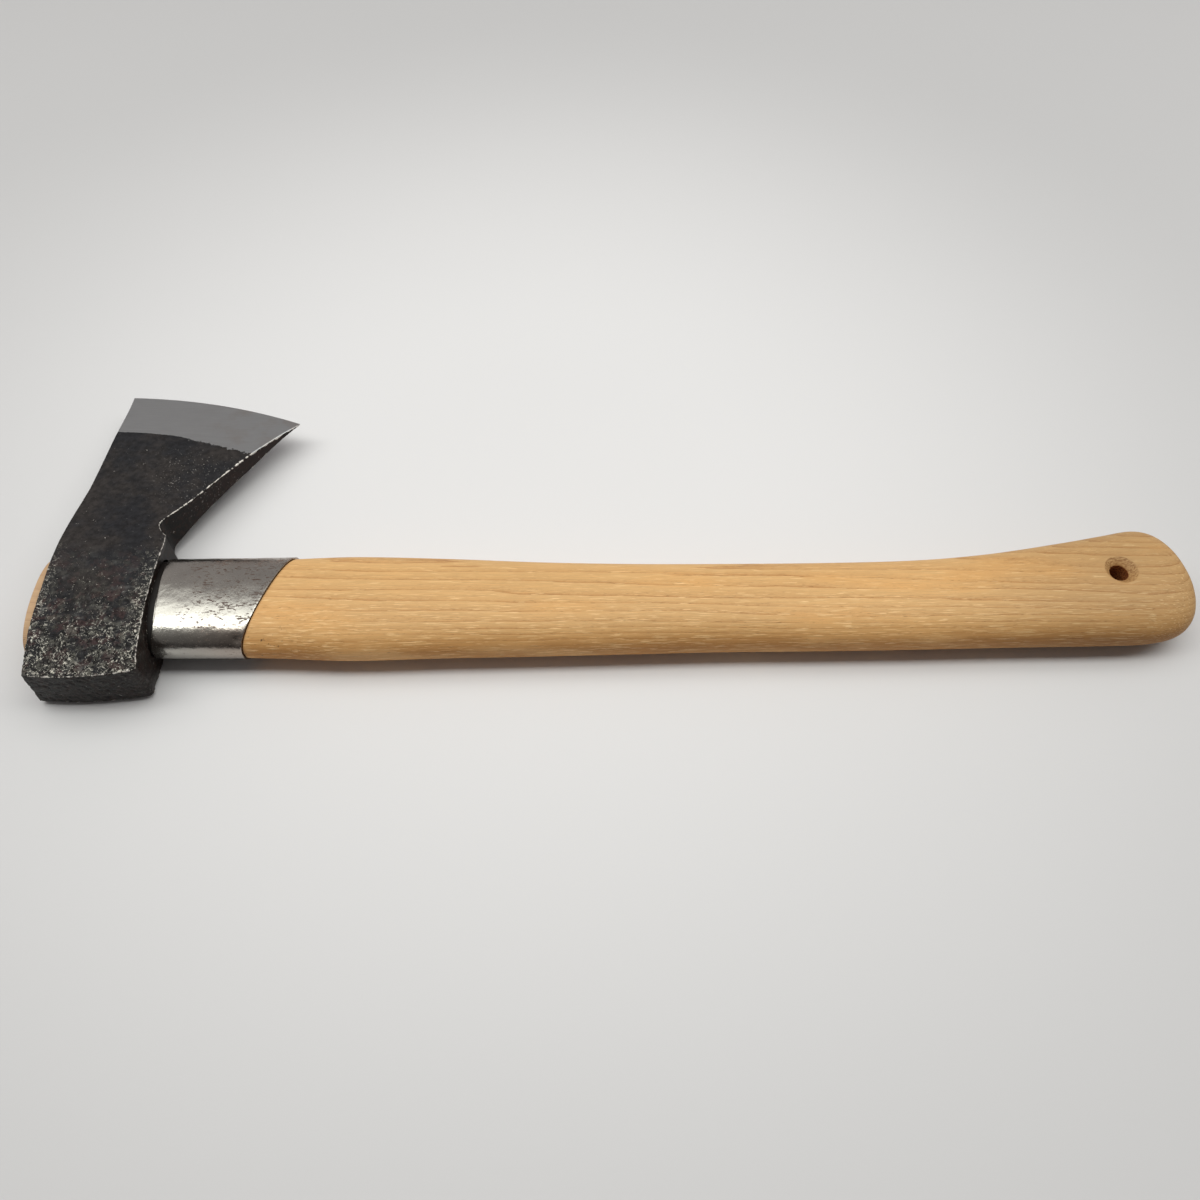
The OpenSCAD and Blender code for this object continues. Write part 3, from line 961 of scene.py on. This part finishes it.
def growth_rings(p, seed):
    """Lines of late wood, and the shading across each ring."""
    sway = p.noise((95.0, 18.0, 18.0), 2, 0.5, seed=seed + 1)
    ripple = p.noise((11.0, 2.6, 2.6), 3, 0.6, seed=seed + 2)
    lean = p.calc("MULTIPLY", p.x, 0.021)
    drift = p.calc("ADD", p.scale(sway, -2.2, 2.2), p.scale(ripple, -0.45, 0.45))
    across = p.calc("ADD", p.calc("ADD", p.y, lean), drift)
    dy = p.calc("SUBTRACT", across, PITH_Y)
    dz = p.calc("SUBTRACT", p.z, PITH_Z)
    radius = p.calc("SQRT", p.calc("ADD", p.calc("MULTIPLY", dy, dy), p.calc("MULTIPLY", dz, dz)))
    ring = p.calc("DIVIDE", radius, RING_SPACING)
    ring = p.calc("ADD", ring, p.scale(p.noise((160.0, 6.0, 6.0), 2, 0.6, seed=seed + 3), -0.9, 0.9))
    phase = p.calc("FRACT", ring)
    late = p.both(p.step(phase, 0.0, 0.03), p.step(phase, 0.20, 0.04))
    fading = p.step(p.noise((40.0, 2.6, 2.6), 2, 0.6, seed=seed + 4), 0.34, 0.56)
    return p.both(late, p.scale(fading, 0.30, 1.0)), p.step(phase, 0.85, 0.10)


def wood(name, light, dark, seed=0.0):
    """Oiled wood: growth rings as one solid body, with pores, flecks and fibres along the handle, and
    painted shade on the lower side towards the poll.
    """
    p = Paint(name)
    late, ring_tone = growth_rings(p, seed)
    fibre = p.noise((11.0, 0.34, 0.34), 5, 0.68, seed=seed + 5)
    pore = p.noise((2.2, 0.20, 0.20), 2, 0.5, seed=seed + 6)
    pore = p.both(p.step(pore, 0.58, 0.68), p.scale(ring_tone, 0.30, 1.0))
    low = p.step(p.y, 8.0, -12.0)
    fleck = p.noise((6.5, 0.25, 0.25), 2, 0.5, seed=seed + 7)
    fleck = p.step(p.calc("ADD", fleck, p.scale(low, -0.02, 0.02)), 0.610, 0.670)
    clouds = p.noise((50.0, 12.0, 12.0), 3, 0.5, seed=seed + 8)

    # Painted shade: the lower side towards the poll is darker and warmer.
    underside_shade = p.both(p.step(p.z, 9.0, 1.0), p.step(p.y, -2.0, -13.0))
    colour = p.blend(underside_shade, light, toned(light, LOW_SIDE_SHADE))
    colour = p.blend(p.scale(ring_tone, 0.0, 0.22), colour, dark)
    colour = p.blend(p.scale(late, 0.0, 0.50), colour, dark)
    colour = p.blend(p.step(clouds, 0.50, 0.72), colour, toned(light, CLOUD))
    colour = p.tint(colour, p.scale(fibre, 0.70, 1.26))
    colour = p.tint(colour, p.scale(clouds, 0.88, 1.10))
    colour = p.blend(p.both(pore, p.scale(late, 0.32, 0.6)), colour, toned(dark, PORE))
    colour = p.blend(p.scale(fleck, 0.0, 0.75), colour, toned(light, PALE_FLECK))
    relief = p.calc("SUBTRACT", p.calc("MULTIPLY", fibre, 0.5), p.calc("MULTIPLY", pore, 0.8))
    relief = p.calc("SUBTRACT", relief, p.calc("MULTIPLY", late, 0.35))
    return p, colour, relief, fibre


def handle_material():
    """The handle's hickory, with torn fibres and painted shade in the hanging hole, painted shade at the
    butt, a painted shadow in the gap by the head, and grime by the collar.
    """
    p, colour, relief, fibre = wood("hickory_handle", HICKORY_LIGHT, HICKORY_DARK)

    # Flared mouth and bore of the hanging hole; the bore's torn fibres are painted dark with shade
    reach = p.reach_from((HOLE_MIDDLE.x, HOLE_MIDDLE.y, 0))
    torn = p.step(p.noise((1.8, 0.45, 0.45), 4, 0.7, seed=21), 0.35, 0.65)
    funnel = p.step(reach, HOLE_RADIUS + 2.5, HOLE_RADIUS + 2.0)
    colour = p.blend(funnel, colour, p.blend(torn, FUNNEL_DARK, FUNNEL_LIGHT))
    # Painted shade: the bore is painted dark red-brown.
    inside = p.step(reach, HOLE_RADIUS + 0.10, HOLE_RADIUS + 0.02)
    colour = p.blend(inside, colour, p.blend(torn, BORE_SHADE_DARK, BORE_SHADE_LIGHT))

    # Painted shade darkening the butt, then from the collar to the head: stained joint, greyer tongue,
    # painted black shadow in the gap, grime
    colour = p.tint(colour, p.scale(p.step(p.x, 255.0, 335.0), 1.0, 0.72))
    slant = p.calc("SUBTRACT", p.x, p.calc("MULTIPLY", p.y, COLLAR_SLANT))
    past_joint = p.step(slant, COLLAR_END - 0.3, COLLAR_END)
    near_joint = p.step(slant, COLLAR_END + 1.1, COLLAR_END + 0.1)
    colour = p.blend(p.scale(p.both(past_joint, near_joint), 0.0, 0.55), colour, JOINT_STAIN)
    tongue = p.step(p.x, -10.0, -14.0)
    colour = p.blend(p.scale(tongue, 0.0, 0.6), colour, TONGUE_WOOD)
    # Painted shadow: the wood seen in the gap between the head's shoulder and the collar is painted black.
    gap_shadow = p.both(p.step(p.x, 23.5, 22.0), p.step(p.x, 12.0, 14.0))
    colour = p.blend(gap_shadow, colour, GAP_SHADOW_BLACK)
    low = p.both(p.step(p.y, -9.0, -15.0), p.step(p.x, 72.0, 54.0))
    grime = p.both(low, p.step(p.noise(1.5, 3, 0.6, seed=22), 0.63, 0.70))
    colour = p.blend(p.scale(grime, 0.0, 0.8), colour, GRIME)
    p.specular(0.30)
    return p.finish(base_color=colour, roughness=p.scale(fibre, 0.50, 0.68), normal=p.bump(relief, 0.018))


def wedge_material():
    """Plain beech for the wedge in the kerf."""
    p, colour, relief, fibre = wood("wedge_beech", BEECH_LIGHT, BEECH_DARK, seed=40.0)
    p.specular(0.30)
    return p.finish(base_color=colour, roughness=p.scale(fibre, 0.55, 0.75), normal=p.bump(relief, 0.06))


# Colours of the collar and of the staple
COLLAR_DARK = (0.395, 0.380, 0.350)
COLLAR_LIGHT = (0.540, 0.525, 0.480)
COLLAR_WARM = (0.32, 0.22, 0.17)
RUST = (0.060, 0.026, 0.017)
STAPLE_DARK = (0.20, 0.19, 0.18)
STAPLE_LIGHT = (0.42, 0.41, 0.40)


def collar_material():
    """Bright rolled steel with rust freckles, fine scratches, a dull bloom and painted shade on its lower
    side.
    """
    p = Paint("collar_sheet_steel")
    bloom = p.noise(7.0, 4, 0.6, seed=31)
    fine = p.noise(0.35, 3, 0.6, seed=32)
    drawn = p.noise((0.30, 9.0, 9.0), 3, 0.6, seed=33)
    rust = p.noise((1.70, 0.60, 0.60), 4, 0.72, seed=34)
    spread = p.both(p.step(p.x, 20.0, 32.0), p.step(p.y, -17.0, -9.0))
    region = p.both(spread, p.step(p.noise((5.0, 3.0, 3.0), 4, 0.65, seed=35), 0.36, 0.60))
    freckle = p.step(p.calc("ADD", rust, p.scale(region, -0.080, 0.050)), 0.545, 0.610)
    colour = p.blend(bloom, COLLAR_DARK, COLLAR_LIGHT)
    colour = p.tint(colour, p.scale(fine, 0.90, 1.10))
    colour = p.blend(p.scale(freckle, 0.0, 0.92), colour, RUST)
    warm = p.both(p.step(p.z, 8.6, 7.0), p.step(p.x, 22.0, 46.0))
    colour = p.blend(p.scale(warm, 0.0, 0.45), colour, COLLAR_WARM)
    # Painted shade: the lower side of the sleeve is darkened to half.
    underside_shade = p.step(p.z, 1.5, -3.0)
    colour = p.tint(colour, p.scale(underside_shade, 1.0, 0.50))

    # Scratches, shallow buckles and a slight twist of the sheet
    relief = p.bump(p.calc("ADD", drawn, fine), 0.008)
    relief = p.bump(bloom, 0.25, relief)
    twist = p.both(p.calc("SUBTRACT", p.x, 14.0), p.calc("SUBTRACT", p.y, 4.0))
    relief = p.bump(p.calc("MULTIPLY", twist, -0.01), 0.16, relief)
    gloss = p.calc("ADD", p.scale(bloom, 0.17, 0.28), p.scale(freckle, 0.0, 0.30))
    metal = p.scale(freckle, 1.0, 0.30)
    return p.finish(base_color=colour, metallic=metal, roughness=gloss, normal=relief)


def staple_material():
    """Dull pressed steel strip."""
    p = Paint("staple_steel")
    clouds = p.noise(2.0, 4, 0.6, seed=41)
    grain = p.noise(0.3, 3, 0.6, seed=42)
    colour = p.blend(p.step(clouds, 0.35, 0.65), STAPLE_DARK, STAPLE_LIGHT)
    relief = p.bump(grain, 0.03)
    p.shader.inputs["Metallic"].default_value = 1.0
    return p.finish(base_color=colour, roughness=p.scale(clouds, 0.32, 0.5), normal=relief)


# ---------------------------------------------------------------- floor, light and camera

FLOOR_REACH = 3.0
TABLE_DARK = (0.758, 0.752, 0.768)
TABLE_LIGHT = (0.783, 0.777, 0.793)
LIGHT_POOL_MIDDLE = (135.0, 75.0, 0)

# Panels in the ceiling: name, two angles from straight up towards the back in degrees, radiance
CEILING = 1.2
PANEL_LENGTH = 3.0
PANEL_COLOUR = (0.985, 1.0, 0.955)
PANELS = (
    ("key_panel", -9, 5, 5.0),
    ("middle_panel", 5, 24, 1.75),
    ("back_panel", 24, 34, 0.7),
)

# Room around, from 0 at the front to 1 at the back: place and colour
ROOM = (
    (0.045, (0.035, 0.032, 0.032)),
    (0.11, (0.12, 0.114, 0.1104)),
    (0.28, (0.16, 0.152, 0.1472)),
    (0.85, (0.355, 0.33, 0.325)),
)

# Camera: place in metres, angles in degrees down and aside, lens in millimetres, shift
CAMERA_PLACE = (-0.00726, -0.22299, 0.30163)
CAMERA_DOWN = 55.5
CAMERA_ASIDE = 0.5
CAMERA_LENS = 31.8
CAMERA_SHIFT = -0.0141667


def floor_material():
    """Pale matt table with a painted falloff of light, a little darker away from the hatchet."""
    p = Paint("pale_table")
    clouds = p.noise(180.0, 2, 0.5, seed=51)
    colour = p.blend(clouds, TABLE_DARK, TABLE_LIGHT)
    # Painted shade: the table darkens away from a pool of light round the hatchet.
    far = p.step(p.reach_from(LIGHT_POOL_MIDDLE), 60.0, 330.0)
    colour = p.tint(colour, p.scale(far, 1.0, 0.74))
    p.specular(0.25)
    return p.finish(base_color=colour, roughness=p.scale(clouds, 0.45, 0.55))


def make_floor():
    """Square table top at the height that the hatchet rests on."""
    mesh = bpy.data.meshes.new("floor")
    signs = ((-1, -1), (1, -1), (1, 1), (-1, 1))
    mesh.from_pydata([(i * FLOOR_REACH, j * FLOOR_REACH, 0) for i, j in signs], [], [(0, 1, 2, 3)])
    mesh.materials.append(floor_material())
    floor = bpy.data.objects.new("floor", mesh)
    bpy.context.scene.collection.objects.link(floor)


def make_panel(name, low, high, radiance):
    """Light panel across the ceiling between two angles from straight up."""
    near = CEILING * math.tan(math.radians(low))
    far = CEILING * math.tan(math.radians(high))
    panel = bpy.data.lights.new(name, "AREA")
    panel.shape = "RECTANGLE"
    panel.size = PANEL_LENGTH
    panel.size_y = far - near
    panel.energy = radiance * math.pi * PANEL_LENGTH * (far - near)
    panel.color = PANEL_COLOUR
    lamp = bpy.data.objects.new(name, panel)
    lamp.location = (0, (near + far) / 2, CEILING)
    bpy.context.scene.collection.objects.link(lamp)


def make_room():
    """World that is dim in front and brighter towards the back."""
    world = bpy.data.worlds.new("room")
    world.use_nodes = True
    tree = world.node_tree
    spot = tree.nodes.new("ShaderNodeTexCoord")
    parts = tree.nodes.new("ShaderNodeSeparateXYZ")
    room = tree.nodes.new("ShaderNodeValToRGB")
    shift = tree.nodes.new("ShaderNodeMapRange")
    shift.inputs["From Min"].default_value = -1
    tree.links.new(spot.outputs["Generated"], parts.inputs[0])
    tree.links.new(parts.outputs[1], shift.inputs[0])
    tree.links.new(shift.outputs[0], room.inputs[0])
    tree.links.new(room.outputs[0], tree.nodes["Background"].inputs[0])
    stops = room.color_ramp.elements
    for position, _ in ROOM[1:-1]:
        stops.new(position)
    for stop, (position, colour) in zip(stops, ROOM):
        stop.position = position
        stop.color = (*colour, 1)
    bpy.context.scene.world = world


def make_light():
    """Bright panel straight above and softer ones behind it, in a dim room."""
    for name, low, high, radiance in PANELS:
        make_panel(name, low, high, radiance)
    make_room()


def make_camera():
    """Camera at arm's length in front, looking down on the hatchet."""
    down = math.radians(CAMERA_DOWN)
    aside = math.radians(CAMERA_ASIDE)
    right = Vector((math.cos(aside), -math.sin(aside), 0))
    level = Vector((math.sin(aside), math.cos(aside), 0))
    back = Vector((0, 0, 1)) * math.sin(down) - level * math.cos(down)
    up = back.cross(right)
    camera = bpy.data.objects.new("camera", bpy.data.cameras.new("camera"))
    turned = Matrix((right, up, back)).transposed().to_4x4()
    camera.matrix_world = Matrix.Translation(CAMERA_PLACE) @ turned
    camera.data.sensor_width = 36.0
    camera.data.lens = CAMERA_LENS
    camera.data.shift_y = CAMERA_SHIFT
    camera.data.clip_start = 0.01
    bpy.context.scene.collection.objects.link(camera)
    bpy.context.scene.camera = camera


# ---------------------------------------------------------------- the hatchet

def dress_node(name, material, bevel):
    """Gives a CAD node its material and softened edges."""
    node = frame["nodes"][name]
    node.data.materials.clear()
    node.data.materials.append(material)
    step = node.modifiers.new("soft_edges", "BEVEL")
    step.width = bevel * MM
    step.segments = 2
    step.limit_method = "ANGLE"


make_head(forged_steel())
make_handle(handle_material())
make_collar(collar_material())
dress_node("eye_wedge", wedge_material(), 0.15)
dress_node("wedge_staple", staple_material(), 0.2)
make_floor()
make_light()
make_camera()
bpy.context.scene.view_settings.view_transform = "Standard"
